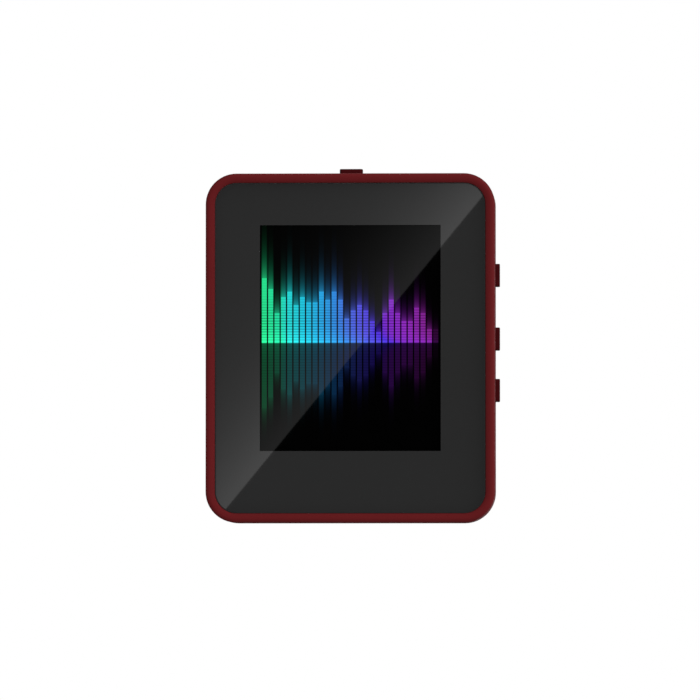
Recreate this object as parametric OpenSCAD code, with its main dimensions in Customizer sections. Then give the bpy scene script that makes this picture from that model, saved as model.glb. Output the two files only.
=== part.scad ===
// Pocket digital audio player, upright, with the screen facing -Y, in millimetres.
// Every sub-part is drawn lying on its back, +Z out of the screen, then stood up on its bottom edge.
// The case grows out of what it holds: the display and the bosses set its width, the stack its depth.

/* [Case] */
// Room between the top of the display and the outside of the case
top_room = 5.1; // [4.6:0.1:9]
// Room between the bottom of the display and the outside of the case
bottom_room = 3.2; // [2.8:0.05:8]
// Room behind the board for the battery and the sockets
board_room = 4.35; // [4:0.05:6]
// Corner radius of the case seen from the front
body_corner_r = 4.8; // [4.3:0.1:5.4]
// Thickness of the side walls
wall = 1.3; // [1.1:0.05:1.5]
// Width of the beaded rim round the lens
rim_w = 1.42; // [1.3:0.01:1.9]
// Radius of the outer edge of the rim, which is also how far in its crest lies
rim_outer_r = 0.65; // [0.5:0.05:0.9]
// Fall of the rim from its crest to the lens
rim_fall = 0.3; // [0.2:0.05:0.4]
// Thickness of the inner ledge that carries the lens
ledge_t = 0.9; // [0.7:0.05:1.2]
// Width of the ribs inside the housing
rib_w = 1; // [0.8:0.1:1.4]

/* [Back cover] */
// Thickness of the flat back
cover_t = 1; // [0.8:0.05:1.2]
// Radius of the back edge
back_edge_r = 1; // [0.6:0.05:1.2]
// Open groove at the parting line
part_gap = 0.12; // [0.08:0.01:0.2]
// Wall left between the headphone hole and that groove
part_land = 0.25; // [0.2:0.01:0.4]
// Thickness of the tongue that centres the cover in the housing
tongue_t = 0.6; // [0.5:0.05:0.8]
// Height of that tongue above the parting line
tongue_h = 0.6; // [0.4:0.05:0.8]
// Clearance round the tongue
tongue_gap = 0.1; // [0.05:0.01:0.15]

/* [Screws and bosses] */
// Radius of the bosses and of the cover's posts
boss_r = 1.8; // [1.65:0.05:2.2]
// Gap between a boss and the side wall
boss_side_gap = 0.3; // [0.2:0.05:1]
// Gap between a boss and the top or bottom wall
boss_end_gap = 1; // [0.9:0.05:2]
// Radius of the boss tip that centres the board
boss_tip_r = 1.2; // [1:0.05:1.35]
// Height of the boss tip behind the board
boss_tip_h = 0.5; // [0.3:0.05:0.8]
// Radius of the screw thread
screw_r = 0.6; // [0.5:0.05:0.7]
// Length of the screw in the boss, from the board's back
screw_grip = 2.2; // [1.8:0.1:2.4]
// Radius of the screw head
screw_head_r = 1.35; // [1.2:0.05:1.5]
// Height of the screw head
screw_head_h = 0.8; // [0.6:0.05:0.9]
// Depth of the screw's counterbore in the back
counterbore = 1; // [0.9:0.05:1.2]
// Width of the cross recess in the screw head
recess_w = 0.4; // [0.3:0.05:0.5]
// Depth of the cross recess
recess_d = 0.35; // [0.25:0.05:0.45]
// Clearance round tips, screws and screw heads
screw_gap = 0.1; // [0.05:0.01:0.15]

/* [Lens] */
// Depth of the lens below the crest of the rim
lens_recess = 0.35; // [0.3:0.05:0.45]
// Thickness of the lens
lens_t = 0.98; // [0.8:0.02:1.2]
// Width of the bevel along the lens's front edge
lens_bevel = 0.15; // [0.1:0.01:0.25]
// Clearance round the lens
lens_gap = 0.06; // [0.03:0.01:0.1]
// Thickness of the clear glue between the lens and its mask
mask_glue = 0.02; // [0.01:0.01:0.05]
// Thickness of the printed mask behind the lens
mask_t = 0.1; // [0.08:0.01:0.15]
// Thickness of the tape between the mask and the ledge
tape_t = 0.15; // [0.1:0.01:0.25]
// Setback of the tape from the edges of the lens and of the ledge
tape_inset = 0.25; // [0.15:0.05:0.3]

/* [Display] */
// Width of the picture, of a 1.8-inch 128 by 160 panel
screen_w = 28.03; // [25:0.01:36]
// Height of the picture
screen_h = 35.04; // [31:0.01:45]
// Border of the display module beside the picture
display_side_border = 3; // [2.5:0.1:4]
// Border of the module above the picture
display_top_border = 2.9; // [2.5:0.1:4]
// Border of the module below the picture
display_bottom_border = 7.9; // [7:0.1:9]
// Depth of the display module
display_t = 2.3; // [2.1:0.05:2.6]
// Clearance round the module
display_gap = 0.2; // [0.1:0.05:0.3]
// Thickness of the steel bezel
bezel_t = 0.2; // [0.15:0.01:0.25]
// Border that the bezel leaves open round the picture
bezel_reveal = 0.6; // [0.4:0.05:0.8]
// Thickness of the glass panel
panel_t = 1.2; // [1:0.05:1.35]
// Length of the panel's bare ledge, where the flex is bonded
panel_ledge = 2; // [1.5:0.1:2.5]
// Thickness of the foam gasket behind the mask
gasket_t = 0.3; // [0.25:0.01:0.4]
// Width of the foam gasket
gasket_w = 1; // [0.8:0.05:1.2]
// Thickness of the pads between the display and the board
pad_t = 0.3; // [0.25:0.01:0.4]
// Width of those pads
pad_w = 4; // [3:0.5:6]
// Thickness of the flex
flex_t = 0.12; // [0.08:0.01:0.15]
// Length of the flex along the board
flex_len = 9; // [6:0.5:12]
// Drop of the flex below the display before it folds
flex_drop = 0.2; // [0.1:0.05:0.4]

/* [Board] */
// Thickness of the main board
board_t = 0.8; // [0.6:0.05:1]
// Clearance between the board and the side walls
board_gap = 0.5; // [0.4:0.05:0.6]
// Side of the square processor
processor_w = 7; // [6:0.5:8]
// Width of the memory chip
memory_w = 10; // [8:0.5:11]
// Height of the memory chip
memory_h = 9; // [8:0.5:10]
// Side of the square radio chip
radio_w = 4; // [3:0.5:5]
// Length of the charger chip
charger_w = 3; // [2.5:0.1:3.4]
// Height of the chips above the board
chip_t = 0.9; // [0.7:0.05:1.2]
// Space between the chips and their neighbours
chip_gap = 2; // [1.6:0.1:2.4]
// Radius of the dimple at a chip's first pin
dimple_r = 0.35; // [0.2:0.05:0.4]
// Width of the crystal
crystal_w = 2; // [1.6:0.1:2.2]
// Length of the small board parts
passive_l = 1; // [0.6:0.1:1.2]

/* [Battery] */
// Gap between the battery and the card socket
battery_card_gap = 0.5; // [0.4:0.05:1]
// Gap between the battery and the switches
battery_switch_gap = 1.5; // [1:0.1:2]
// Gap between the battery and the headphone jack
battery_jack_gap = 1.2; // [1:0.1:2]
// Room above the battery for its leads
battery_lead_room = 3.4; // [2.5:0.1:4]
// Gap between the battery and the back cover
battery_back_gap = 0.7; // [0.5:0.05:1]
// Corner radius of the battery cell
battery_corner_r = 1.2; // [1:0.1:2]
// Edge radius of the battery cell
battery_edge_r = 0.9; // [0.5:0.1:1]
// Thickness of the tape under the battery
battery_tape_t = 0.15; // [0.1:0.01:0.2]
// Height of the sealed terrace at the top of the cell
terrace_h = 2.5; // [2.2:0.1:3]
// Thickness of that terrace
terrace_t = 0.4; // [0.3:0.05:0.5]
// Thickness of the protection circuit
circuit_t = 0.8; // [0.6:0.05:1]
// Setback of the protection circuit from the sides of the cell
circuit_inset = 2.5; // [2:0.1:3]
// Radius of the battery leads
lead_r = 0.35; // [0.25:0.05:0.4]
// Bend radius of the battery leads
lead_bend = 1; // [0.8:0.1:1.2]
// Straight length of the leads beside the circuit
lead_run = 1.5; // [1:0.1:2]

/* [Buttons] */
// Length of a button along the edge of the case
button_l = 3.6; // [3:0.1:4]
// Thickness of a button across the edge of the case
button_t = 1.7; // [1.4:0.05:2]
// Projection of a side button at rest
button_proud = 0.7; // [0.5:0.05:1]
// Projection of the power button at rest
power_proud = 0.95; // [0.5:0.05:1.2]
// Corner radius of a button
button_corner_r = 0.5; // [0.3:0.05:0.6]
// Edge radius of a button
button_edge_r = 0.15; // [0.1:0.01:0.25]
// Clearance round a button
button_gap = 0.1; // [0.05:0.01:0.15]
// Travel of a button
button_travel = 0.25; // [0.2:0.01:0.35]
// Thickness of the flange that keeps a button in
flange_t = 0.6; // [0.5:0.05:0.7]
// Length of that flange beyond each end of the button
flange_over = 0.6; // [0.4:0.05:0.8]
// Clearance between that flange and the board
flange_gap = 0.1; // [0.05:0.01:0.2]
// Height of the volume down button above the bottom of the case
volume_down_z = 20.6; // [18:0.1:23]
// Step from there up to the volume up button
volume_pitch = 8; // [7:0.1:9]
// Step from there up to the menu button
menu_pitch = 9.9; // [8.5:0.1:11]
// Length of a switch along the edge
switch_l = 3.6; // [3:0.1:4]
// Depth of a switch
switch_depth = 2.6; // [2.2:0.1:3]
// Width of a switch plunger
plunger_l = 1.3; // [1:0.1:1.6]
// Thickness of a switch plunger
plunger_t = 0.8; // [0.6:0.05:0.9]
// Projection of a plunger from its switch
plunger_reach = 0.5; // [0.4:0.05:0.6]
// Length of a plunger inside its switch
plunger_in = 0.8; // [0.6:0.05:1]
// Clearance round a plunger
plunger_gap = 0.06; // [0.04:0.01:0.1]

/* [Headphone jack] */
// Space between the jack and the boss beside it
jack_boss_gap = 2.2; // [2:0.1:2.6]
// Bore radius of a jack for the standard 3.5 mm plug
jack_r = 1.8; // [1.78:0.01:1.9]
// Wall of the jack before and behind the bore
jack_wall = 0.4; // [0.35:0.05:0.45]
// Depth of the bore
jack_bore = 11; // [10:0.1:12.5]
// Wall at the inner end of the bore
jack_end_wall = 1; // [0.8:0.1:1.5]
// Width of the jack's body
jack_w = 6; // [5.5:0.1:6.6]
// Gap between the jack and the display
jack_gap = 0.1; // [0.05:0.01:0.15]
// Radius of the hole in the housing
jack_hole_r = 2; // [1.9:0.05:2.2]
// Chamfer of that hole
jack_chamfer = 0.25; // [0.15:0.05:0.3]
// Clearance of the board's notch round the jack
notch_gap = 0.15; // [0.1:0.01:0.25]
// Width of a solder tab
tab_w = 1.2; // [0.8:0.1:1.4]
// Height of a solder tab up the side of the jack
tab_h = 1.6; // [1.2:0.1:2]
// Reach of a solder tab over the board
tab_reach = 1.3; // [1:0.1:1.5]
// Sheet thickness of a solder tab
tab_sheet = 0.2; // [0.15:0.01:0.25]

/* [Charging socket] */
// Space between the micro-USB socket and the boss beside it
usb_boss_gap = 3.4; // [3:0.1:4]
// Outer width of the shell
usb_w = 7.5; // [7:0.05:8.4]
// Outer height of the shell
usb_t = 2.6; // [2.4:0.05:2.8]
// Chamfer of the shell's two narrow corners
usb_chamfer = 0.9; // [0.7:0.05:1]
// Sheet thickness of the shell
usb_sheet = 0.25; // [0.2:0.01:0.3]
// Length of the shell
usb_len = 5.5; // [5:0.1:6]
// Setback of the shell from the bottom of the case
usb_setback = 0.4; // [0.3:0.05:0.6]
// Clearance of the cut-out round the shell
usb_gap = 0.2; // [0.15:0.01:0.3]
// Corner radius of the cut-out
usb_corner_r = 0.8; // [0.5:0.05:1]
// Length of the insulator at the inner end of the shell
usb_block = 1.4; // [1:0.1:1.8]
// Width of the contact tongue
tongue_w = 3.5; // [3:0.1:4]
// Thickness of the contact tongue
tongue_thick = 0.6; // [0.5:0.05:0.7]
// Setback of the contact tongue from the mouth of the shell
tongue_back = 0.9; // [0.6:0.1:1.2]
// Width of a contact on the tongue
usb_contact_w = 0.36; // [0.3:0.02:0.4]
// Spacing of the five contacts
usb_contact_pitch = 0.65; // [0.6:0.01:0.7]
// Thickness of a contact
usb_contact_t = 0.1; // [0.08:0.01:0.15]

/* [Card socket] */
// Height of the card slot's centre above the bottom of the case
card_z = 33.2; // [30:0.1:36]
// Width of the card channel, for a microSD card
card_w = 11.2; // [11:0.05:12.4]
// Height of the card channel
card_t = 0.85; // [0.8:0.01:0.95]
// Depth of the socket
card_depth = 14; // [12.5:0.1:15.5]
// Thickness of the socket's floor
card_floor = 0.4; // [0.3:0.05:0.5]
// Width of the socket's side rails
card_rail = 1.5; // [1.2:0.05:1.7]
// Thickness of the socket's end wall
card_end_wall = 1; // [0.8:0.1:1.5]
// Sheet thickness of the socket's cover
card_sheet = 0.2; // [0.15:0.01:0.25]
// Clearance of the slot in the housing round the card channel
card_gap = 0.25; // [0.15:0.01:0.35]
// Length of a card contact
card_contact_l = 6; // [5:0.1:7]
// Width of a card contact
card_contact_w = 0.5; // [0.4:0.05:0.6]
// Spacing of the card contacts
card_contact_pitch = 1.1; // [1:0.05:1.2]
// Thickness of a card contact
card_contact_t = 0.1; // [0.08:0.01:0.15]
// Depth of the finger scoop at the slot
scoop = 0.45; // [0.3:0.05:0.6]
// Radius of the finger scoop
scoop_r = 7; // [6:0.5:9]

/* [Hidden] */
$fn = 64;

// A little overlap for cuts that must come out clean
cut = 0.2;

// Overall sizes of the display and of the case
display_w = screen_w + 2 * display_side_border;
display_h = screen_h + display_top_border + display_bottom_border;
body_w = display_w + 2 * (display_gap + 2 * boss_r + boss_side_gap + wall);
body_h = display_h + top_room + bottom_room;
lens_stack = lens_recess + lens_t + mask_glue + mask_t + gasket_t;
body_d = lens_stack + display_t + pad_t + board_t + board_room + cover_t;

// Depths, from the front to the back
z_crest = body_d / 2;
z_lens = z_crest - lens_recess;
z_lens_back = z_lens - lens_t;
z_mask = z_lens_back - mask_glue;
z_mask_back = z_mask - mask_t;
z_ledge = z_mask_back - tape_t;
z_ledge_back = z_ledge - ledge_t;
z_display = z_mask_back - gasket_t;
z_panel = z_display - bezel_t;
z_panel_back = z_panel - panel_t;
z_display_back = z_display - display_t;
z_board = z_display_back - pad_t;
z_board_back = z_board - board_t;
z_back = -body_d / 2;
z_cover_inner = z_back + cover_t;
z_screw_seat = z_back + counterbore;
switch_t = button_t + 2 * flange_gap;
z_button = z_board_back - switch_t / 2;
jack_t = 2 * (jack_r + jack_wall);
z_jack = z_display_back - jack_gap - jack_t / 2;
z_usb = z_board_back - usb_t / 2;
z_card = z_board_back - card_floor - card_t / 2;
z_part = z_jack - jack_hole_r - jack_chamfer - part_land - part_gap;

// Places across the face, from the centre of the case
lens_w = body_w - 2 * rim_w - 2 * lens_gap;
lens_h = body_h - 2 * rim_w - 2 * lens_gap;
lens_corner_r = body_corner_r - rim_w - lens_gap;
display_bottom = -body_h / 2 + bottom_room;
display_y = display_bottom + display_h / 2;
screen_y = display_bottom + display_bottom_border + screen_h / 2;
window_w = display_w + 2 * display_gap;
window_h = display_h + 2 * display_gap;
panel_w = display_w - 2 * bezel_t;
panel_h = display_h - 2 * bezel_t;
flex_w = screen_w / 2;
gasket_reach = bezel_reveal + gasket_w;
side_inner = body_w / 2 - wall;
end_inner = body_h / 2 - wall;
boss_x = side_inner - boss_side_gap - boss_r;
boss_y = end_inner - boss_end_gap - boss_r;
board_w = 2 * side_inner - 2 * board_gap;
board_h = 2 * end_inner - 2 * board_gap;
tongue_u = body_corner_r - wall - tongue_gap - tongue_t;
volume_up_z = volume_down_z + volume_pitch;
menu_z = volume_up_z + menu_pitch;
switch_face = wall + flange_t + plunger_reach;
jack_len = jack_bore + jack_end_wall;
jack_x = boss_x - boss_r - jack_boss_gap - jack_w / 2;
jack_end = -end_inner + jack_len;
usb_x = boss_x - boss_r - usb_boss_gap - usb_w / 2;
usb_start = -body_h / 2 + usb_setback;
card_y = card_z - body_h / 2;
card_start = -side_inner + tongue_gap;
card_end = card_start + card_depth;
card_half = card_w / 2 + card_rail + card_sheet;
chip_x = card_start + card_depth / 2;
processor_y = card_y - card_half - chip_gap - processor_w / 2;
radio_y = board_h / 2 - chip_gap - radio_w / 2;
memory_x = (jack_x - jack_w / 2 - tab_reach - usb_x + usb_w / 2) / 2;

// The battery fills the room between the card socket, the switches and the jack
battery_left = card_end + battery_card_gap;
battery_w = side_inner - flange_t - plunger_reach - switch_depth - battery_switch_gap - battery_left;
battery_x = battery_left + battery_w / 2;
battery_low = jack_end + battery_jack_gap;
battery_top = end_inner - flange_t - plunger_reach - switch_depth - battery_lead_room - terrace_h;
battery_h = battery_top - battery_low;
battery_y = battery_low + battery_h / 2;
battery_t = board_room - battery_tape_t - battery_back_gap;
z_battery = z_board_back - battery_tape_t;
z_circuit = z_battery - battery_t / 2 - terrace_t / 2 - circuit_t / 2;

// Stands the drawing up on its bottom edge
module stand() {
  translate([0, 0, body_h / 2]) rotate([90, 0, 0]) children();
}

// Flat rectangle with round corners, about its centre
module round_rect(w, h, r) {
  square([w - 2 * r, h], center = true);
  square([w, h - 2 * r], center = true);
  for (sx = [-1, 1], sy = [-1, 1]) {
    translate([sx * (w / 2 - r), sy * (h / 2 - r)]) circle(r);
  }
}

// Carries a profile round a rounded rectangle; its x runs outwards from the corner's centre
module sweep_outline(w, h, r) {
  for (k = [0:3]) {
    reach = (k % 2 == 0 ? w : h) / 2 - r;
    run = (k % 2 == 0 ? h : w) - 2 * r;
    rotate([0, 0, 90 * k]) {
      translate([reach, 0, 0]) rotate([90, 0, 0]) linear_extrude(run, center = true) children();
      translate([reach, run / 2, 0]) rotate_extrude(angle = 90) children();
    }
  }
}

// Corner of a square that a round edge takes away; the corner is at the origin, the square at +x +y
module edge_waste(r) {
  difference() {
    translate([-cut, -cut]) square(r + cut);
    translate([r, r]) circle(r);
  }
}

// Slab from z = 0 up, with round corners and a round top edge
module soft_slab(w, h, r, t, edge) {
  linear_extrude(t - edge) round_rect(w, h, r);
  linear_extrude(t) round_rect(w - 2 * edge, h - 2 * edge, r - edge);
  sweep_outline(w, h, r) translate([r - edge, t - edge]) intersection() {
    circle(edge);
    square(edge);
  }
}

// Slab from z = 0 up, with round corners and a bevelled top edge
module bevel_slab(w, h, r, t, edge) {
  linear_extrude(t - edge) round_rect(w, h, r);
  linear_extrude(t) round_rect(w - 2 * edge, h - 2 * edge, r - edge);
  sweep_outline(w, h, r) translate([r - edge, t - edge]) polygon([[0, 0], [edge, 0], [0, edge]]);
}

// Places a piece on the right edge of the case, z outwards from the wall, x along the edge
module on_right(height) {
  translate([body_w / 2, height - body_h / 2, z_button]) rotate([0, 90, 0]) rotate([0, 0, 90]) children();
}

// Places a piece on the top edge of the case, z outwards from the wall, x along the edge
module on_top() {
  translate([0, body_h / 2, z_button]) rotate([-90, 0, 0]) children();
}

// The four places of the screws
module at_screws() {
  for (sx = [-1, 1], sy = [-1, 1]) {
    translate([sx * boss_x, sy * boss_y, 0]) children();
  }
}

// Section through the housing's wall and rim: the bead falls on one arc to the lens, on another to the side
module rim_profile() {
  fall_w = rim_w - rim_outer_r;
  fall_r = (fall_w * fall_w + rim_fall * rim_fall) / (2 * rim_fall);
  translate([body_corner_r - wall, z_part + part_gap]) square([wall, z_ledge - z_part - part_gap]);
  difference() {
    translate([body_corner_r - rim_outer_r, z_ledge_back]) square([rim_outer_r, z_crest - z_ledge_back]);
    translate([body_corner_r, z_crest]) rotate(180) edge_waste(rim_outer_r);
  }
  translate([body_corner_r - rim_w, z_ledge_back]) square([fall_w, z_crest - rim_fall - z_ledge_back]);
  intersection() {
    translate([body_corner_r - rim_outer_r, z_crest - fall_r]) circle(fall_r);
    translate([body_corner_r - rim_w, z_crest - rim_fall]) square([fall_w, rim_fall]);
  }
}

// Section through the back cover's edge and its tongue
module cover_profile() {
  difference() {
    translate([tongue_u, z_back]) square([body_corner_r - tongue_u, z_part - z_back]);
    translate([body_corner_r, z_back]) rotate(90) edge_waste(back_edge_r);
  }
  translate([tongue_u, z_part - cut]) square([tongue_t, tongue_h + cut]);
}

// Ledge that carries the lens, open for the display
module lens_ledge() {
  translate([0, 0, z_ledge_back]) linear_extrude(ledge_t) difference() {
    round_rect(body_w - 2 * wall, body_h - 2 * wall, body_corner_r - wall);
    translate([0, display_y]) square([window_w, window_h], center = true);
  }
}

// Bosses with shoulders for the board, each tied to the wall by a rib
module bosses() {
  at_screws() {
    translate([0, 0, z_board]) cylinder(h = z_ledge - z_board - cut, r = boss_r);
    translate([0, 0, z_board_back - boss_tip_h]) cylinder(h = board_t + boss_tip_h + cut, r = boss_tip_r);
  }
  for (sx = [-1, 1], sy = [-1, 1]) {
    translate([sx * (boss_x + side_inner + cut) / 2, sy * boss_y, (z_board + z_ledge - cut) / 2])
      cube([side_inner + cut - boss_x, rib_w, z_ledge - cut - z_board], center = true);
  }
}

// Ribs half way up the sides that the board rests on
module rest_ribs() {
  for (sx = [-1, 1]) {
    translate([sx * (side_inner - rib_w + cut), 0, (z_board + z_ledge - cut) / 2])
      cube([2 * rib_w, rib_w, z_ledge - cut - z_board], center = true);
  }
}

// Slot for a button
module button_slot() {
  translate([0, 0, -wall - cut]) linear_extrude(wall + 2 * cut)
    round_rect(button_l + 2 * button_gap, button_t + 2 * button_gap, button_corner_r + button_gap);
}

// Moulded front half of the case
module front_housing() color("#6b2023") stand() difference() {
  union() {
    sweep_outline(body_w, body_h, body_corner_r) rim_profile();
    lens_ledge();
    bosses();
    rest_ribs();
  }
  at_screws() translate([0, 0, z_board_back - boss_tip_h - cut])
    cylinder(h = screw_grip + boss_tip_h + 2 * cut, r = screw_r + screw_gap / 4);
  on_right(menu_z) button_slot();
  on_right(volume_up_z) button_slot();
  on_right(volume_down_z) button_slot();
  on_top() button_slot();
  translate([jack_x, -body_h / 2, z_jack]) rotate([-90, 0, 0]) {
    translate([0, 0, -cut]) cylinder(h = wall + 2 * cut, r = jack_hole_r);
    translate([0, 0, -cut]) cylinder(h = jack_chamfer + cut, r1 = jack_hole_r + jack_chamfer + cut,
      r2 = jack_hole_r);
  }
  translate([-usb_x, -body_h / 2 + wall + cut, z_usb]) rotate([90, 0, 0]) linear_extrude(wall + 2 * cut)
    round_rect(usb_w + 2 * usb_gap, usb_t + 2 * usb_gap, usb_corner_r);
  translate([-body_w / 2 - cut, card_y, z_card]) rotate([90, 0, 90]) linear_extrude(wall + 2 * cut)
    round_rect(card_w + 2 * card_gap, card_t + 2 * card_gap, card_t / 2);
  translate([-body_w / 2 - scoop_r + scoop, card_y, z_card]) sphere(scoop_r);
}

// Flat back with its edge, tongue and posts
module back_cover() color("#64191d") stand() difference() {
  union() {
    sweep_outline(body_w, body_h, body_corner_r) cover_profile();
    translate([0, 0, z_back]) linear_extrude(cover_t)
      round_rect(body_w - 2 * back_edge_r, body_h - 2 * back_edge_r, body_corner_r - back_edge_r);
    at_screws() translate([0, 0, z_back + cut]) cylinder(h = z_board_back - z_back - cut, r = boss_r);
  }
  at_screws() {
    translate([0, 0, z_back - cut]) cylinder(h = counterbore + cut, r = screw_head_r + screw_gap);
    translate([0, 0, z_back]) cylinder(h = z_board_back - z_back, r = screw_r + screw_gap);
    translate([0, 0, z_board_back - boss_tip_h - screw_gap])
      cylinder(h = boss_tip_h + screw_gap + cut, r = boss_tip_r + screw_gap);
  }
  translate([jack_x - jack_w / 2 - notch_gap, -end_inner - cut, z_jack - jack_t / 2 - notch_gap])
    cube([jack_w + 2 * notch_gap, jack_len, jack_t]);
}

// Clear lens, set a little below the crest of the rim
module front_lens() color("#9aa2a8", 0.4) stand() {
  translate([0, 0, z_lens_back]) bevel_slab(lens_w, lens_h, lens_corner_r, lens_t, lens_bevel);
}

// Black mask printed on a film behind the lens, with the window for the picture
module lens_mask() color("#1f1f20") stand()
  translate([0, 0, z_mask_back]) linear_extrude(mask_t) difference() {
  round_rect(lens_w, lens_h, lens_corner_r);
  translate([0, screen_y]) square([screen_w, screen_h], center = true);
}

// Tape ring that holds the lens on the ledge
module lens_tape() color("#2c2c2e") stand() translate([0, 0, z_ledge]) linear_extrude(tape_t) difference() {
  round_rect(lens_w - 2 * tape_inset, lens_h - 2 * tape_inset, lens_corner_r - tape_inset);
  translate([0, display_y]) square([window_w + 2 * tape_inset, window_h + 2 * tape_inset], center = true);
}

// Foam ring between the mask and the display
module display_gasket() color("#3a3a3c") stand() translate([0, screen_y, z_display])
  linear_extrude(gasket_t) difference() {
    square([screen_w + 2 * gasket_reach, screen_h + 2 * gasket_reach], center = true);
    square([screen_w + 2 * bezel_reveal, screen_h + 2 * bezel_reveal], center = true);
  }

// Folded steel bezel of the display, open at the back and at the flex
module display_bezel() color("#b9bcc0") stand() difference() {
  translate([0, display_y, z_display - display_t / 2]) cube([display_w, display_h, display_t], center = true);
  translate([0, display_y, z_panel - display_t / 2]) cube([panel_w, panel_h, display_t], center = true);
  translate([0, screen_y, z_display])
    cube([screen_w + 2 * bezel_reveal, screen_h + 2 * bezel_reveal, display_t], center = true);
  translate([0, display_bottom, z_display_back])
    cube([flex_w + 4 * display_gap, 4 * bezel_t, 2 * (display_t - bezel_t - panel_t)], center = true);
}

// Glass panel of the display
module display_panel() color("#0c0d10") stand() translate([0, display_y, z_panel - panel_t / 2])
  cube([panel_w, panel_h, panel_t], center = true);

// Backlight under the panel, clear of the panel's bare ledge
module backlight() color("#e8e8e4") stand()
  translate([0, display_y + panel_ledge / 2, (z_panel_back + z_display_back) / 2])
    cube([panel_w, panel_h - panel_ledge, z_panel_back - z_display_back], center = true);

// Flex that folds from the panel's ledge round to the board
module display_flex() color("#b5762c") stand() rotate([90, 0, 90]) linear_extrude(flex_w, center = true) {
  fold_r = (z_panel_back - z_board) / 2;
  fold_y = display_bottom - flex_drop;
  translate([fold_y, z_panel_back - flex_t]) square([panel_ledge, flex_t]);
  translate([fold_y, z_board]) square([flex_len, flex_t]);
  difference() {
    translate([fold_y, z_board + fold_r]) circle(fold_r);
    translate([fold_y, z_board + fold_r]) circle(fold_r - flex_t);
    translate([fold_y, z_board - cut]) square([fold_r + cut, 2 * fold_r + 2 * cut]);
  }
}

// Two sticky pads between the display and the board
module display_pads() color("#d9d9d4") stand() for (sx = [-1, 1]) {
  translate([sx * display_w / 3, screen_y, z_board + pad_t / 2])
    cube([pad_w, screen_h * 0.8, pad_t], center = true);
}

// Main board, with holes for the boss tips and a notch for the jack
module main_board() color("#1f5a3a") stand()
  translate([0, 0, z_board_back]) linear_extrude(board_t) difference() {
  round_rect(board_w, board_h, body_corner_r - wall - board_gap);
  for (sx = [-1, 1], sy = [-1, 1]) {
    translate([sx * boss_x, sy * boss_y]) circle(boss_tip_r + screw_gap);
  }
  translate([jack_x - jack_w / 2 - notch_gap, -body_h / 2])
    square([jack_w + 2 * notch_gap, body_h / 2 + jack_end + notch_gap]);
}

// Chip on the back of the board with a dimple at its first pin
module chip(x, y, w, h, t) {
  translate([x, y, z_board_back]) difference() {
    translate([-w / 2, -h / 2, -t]) cube([w, h, t]);
    translate([-w / 2 + 2 * dimple_r, h / 2 - 2 * dimple_r, -t - cut])
      cylinder(h = cut + t / 9, r = dimple_r);
  }
}

// Processor
module processor_chip() color("#26272a") stand() chip(chip_x, processor_y, processor_w, processor_w, chip_t);

// Memory chip between the two sockets
module memory_chip() color("#202124") stand()
  chip(memory_x, jack_end - chip_gap / 2 - memory_h / 2, memory_w, memory_h, chip_t);

// Radio chip
module radio_chip() color("#2a2b2e") stand() chip(chip_x, radio_y, radio_w, radio_w, chip_t);

// Charger chip beside the charging socket
module charger_chip() color("#2d2e31") stand()
  chip(-usb_x - usb_w / 2 - charger_w, usb_start + usb_len + chip_gap, charger_w, charger_w * 0.6, chip_t);

// Crystal of the processor
module crystal() color("#c9ccd0") stand()
  translate([chip_x, processor_y - (processor_w + chip_gap + crystal_w) / 2, z_board_back - crystal_w / 6])
    cube([crystal_w * 1.25, crystal_w, crystal_w / 3], center = true);

// Row of small board parts
module passive_row(x, y, count, pitch) {
  for (i = [0:count - 1]) {
    translate([x + i * pitch, y, z_board_back - passive_l / 4])
      cube([passive_l / 2, passive_l, passive_l / 2], center = true);
  }
}

// Small capacitors and resistors
module board_passives() color("#b08d5a") stand() {
  passive_row(chip_x - 3 * passive_l, card_y - card_half - chip_gap / 2, 6, 1.2 * passive_l);
  passive_row(chip_x - 3 * passive_l, card_y + card_half + chip_gap / 2, 6, 1.2 * passive_l);
  passive_row(-usb_x - 2 * passive_l, usb_start + usb_len + chip_gap, 5, 1.2 * passive_l);
}

// Pouch cell with the sealed terrace at its top
module battery_cell() color("#c4c7cb") stand()
  translate([battery_x, battery_y, z_battery]) mirror([0, 0, 1]) {
  soft_slab(battery_w, battery_h, battery_corner_r, battery_t, battery_edge_r);
  translate([-battery_w / 2 + battery_corner_r, battery_h / 2 - cut, battery_t / 2 - terrace_t / 2])
    cube([battery_w - 2 * battery_corner_r, terrace_h + cut, terrace_t]);
}

// Tape that holds the cell on the board
module battery_tape() color("#e6e1cf") stand()
  translate([battery_x, battery_y, z_battery + battery_tape_t / 2])
  cube([battery_w * 0.7, battery_h * 0.8, battery_tape_t], center = true);

// Protection circuit on the terrace of the cell
module battery_circuit() color("#2b6a4a") stand()
  translate([battery_x, battery_top + terrace_h / 2, z_circuit])
    cube([battery_w - 2 * circuit_inset, terrace_h * 0.92, circuit_t], center = true);

// Lead from the protection circuit to the board
module battery_lead(share) {
  y = battery_top + terrace_h * share;
  start = battery_left + circuit_inset;
  translate([start, y, z_circuit]) rotate([0, -90, 0]) cylinder(h = lead_run, r = lead_r);
  translate([start - lead_run, y, z_circuit + lead_bend]) rotate([90, 0, 0]) rotate([0, 0, 180])
    rotate_extrude(angle = 90) translate([lead_bend, 0]) circle(lead_r);
  translate([start - lead_run - lead_bend, y, z_circuit + lead_bend])
    cylinder(h = z_board_back - z_circuit - lead_bend, r = lead_r);
}

// Positive lead
module battery_lead_plus() color("#b32025") stand() battery_lead(0.75);

// Negative lead
module battery_lead_minus() color("#1c1c1e") stand() battery_lead(0.3);

// Button with its flange behind the wall
module button(proud) {
  translate([0, 0, -wall - flange_t / 2])
    cube([button_l + 2 * flange_over, button_t, flange_t], center = true);
  translate([0, 0, -wall - flange_t / 2])
    soft_slab(button_l, button_t, button_corner_r, wall + flange_t / 2 + proud, button_edge_r);
}

// Menu button
module menu_button() color("#451416") stand() on_right(menu_z) button(button_proud);

// Volume up button
module volume_up_button() color("#451416") stand() on_right(volume_up_z) button(button_proud);

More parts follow.
